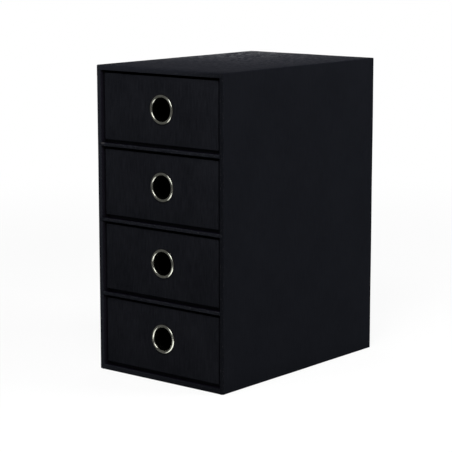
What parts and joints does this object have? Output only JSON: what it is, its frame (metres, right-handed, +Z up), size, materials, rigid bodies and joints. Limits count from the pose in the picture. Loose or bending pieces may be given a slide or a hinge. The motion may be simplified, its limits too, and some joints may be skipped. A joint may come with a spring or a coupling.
{
  "type": "desk drawer box",
  "caption": "Upright desktop box covered in black book cloth, with stacked open-topped tray drawers that slide out by a plated finger ring in each front.",
  "frame": {"origin": "middle of the footprint, on the surface the box stands on", "axes": "+Z up, -Y out of the drawer fronts, +X to the right of someone facing the drawers"},
  "size_m": [0.166, 0.25, 0.315],
  "materials": {
    "case_cloth": "black linen-embossed book cloth, a soft low sheen along its streaks",
    "shelf_cloth": "black linen-embossed book cloth",
    "drawer_cloth": "black linen-embossed book cloth with an upright grain",
    "lining_paper": "matt black lining paper",
    "greyboard": "raw grey paperboard, hidden under the cloth",
    "ring_metal": "nickel-plated steel, polished, slightly warm"
  },
  "bodies": {
    "case": {"left_board": "greyboard", "right_board": "greyboard", "top_board": "greyboard", "bottom_board": "greyboard", "back_board": "greyboard", "case_cover": "case_cloth", "base_cover": "case_cloth", "back_cover": "case_cloth", "wall_lining": "lining_paper", "ceiling_lining": "lining_paper", "shelf_1_board": "greyboard", "shelf_1_cover": "shelf_cloth", "shelf_2_board": "greyboard", "shelf_2_cover": "shelf_cloth", "shelf_3_board": "greyboard", "shelf_3_cover": "shelf_cloth"},
    "drawer_1": {"drawer_1_face_board": "greyboard", "drawer_1_face_cover": "drawer_cloth", "drawer_1_base_board": "greyboard", "drawer_1_left_board": "greyboard", "drawer_1_right_board": "greyboard", "drawer_1_rear_board": "greyboard", "drawer_1_front_board": "greyboard", "drawer_1_tray_cover": "drawer_cloth", "drawer_1_tray_lining": "lining_paper", "drawer_1_ring": "ring_metal"},
    "drawer_2": {"drawer_2_face_board": "greyboard", "drawer_2_face_cover": "drawer_cloth", "drawer_2_base_board": "greyboard", "drawer_2_left_board": "greyboard", "drawer_2_right_board": "greyboard", "drawer_2_rear_board": "greyboard", "drawer_2_front_board": "greyboard", "drawer_2_tray_cover": "drawer_cloth", "drawer_2_tray_lining": "lining_paper", "drawer_2_ring": "ring_metal"},
    "drawer_3": {"drawer_3_face_board": "greyboard", "drawer_3_face_cover": "drawer_cloth", "drawer_3_base_board": "greyboard", "drawer_3_left_board": "greyboard", "drawer_3_right_board": "greyboard", "drawer_3_rear_board": "greyboard", "drawer_3_front_board": "greyboard", "drawer_3_tray_cover": "drawer_cloth", "drawer_3_tray_lining": "lining_paper", "drawer_3_ring": "ring_metal"},
    "drawer_4": {"drawer_4_face_board": "greyboard", "drawer_4_face_cover": "drawer_cloth", "drawer_4_base_board": "greyboard", "drawer_4_left_board": "greyboard", "drawer_4_right_board": "greyboard", "drawer_4_rear_board": "greyboard", "drawer_4_front_board": "greyboard", "drawer_4_tray_cover": "drawer_cloth", "drawer_4_tray_lining": "lining_paper", "drawer_4_ring": "ring_metal"}
  },
  "joints": [
    {"name": "drawer_1_slide", "type": "slide", "parent": "case", "child": "drawer_1", "axis": [0, -1, 0], "range_m": [0, 0.2]},
    {"name": "drawer_2_slide", "type": "slide", "parent": "case", "child": "drawer_2", "axis": [0, -1, 0], "range_m": [0, 0.2]},
    {"name": "drawer_3_slide", "type": "slide", "parent": "case", "child": "drawer_3", "axis": [0, -1, 0], "range_m": [0, 0.2]},
    {"name": "drawer_4_slide", "type": "slide", "parent": "case", "child": "drawer_4", "axis": [0, -1, 0], "range_m": [0, 0.2]}
  ]
}
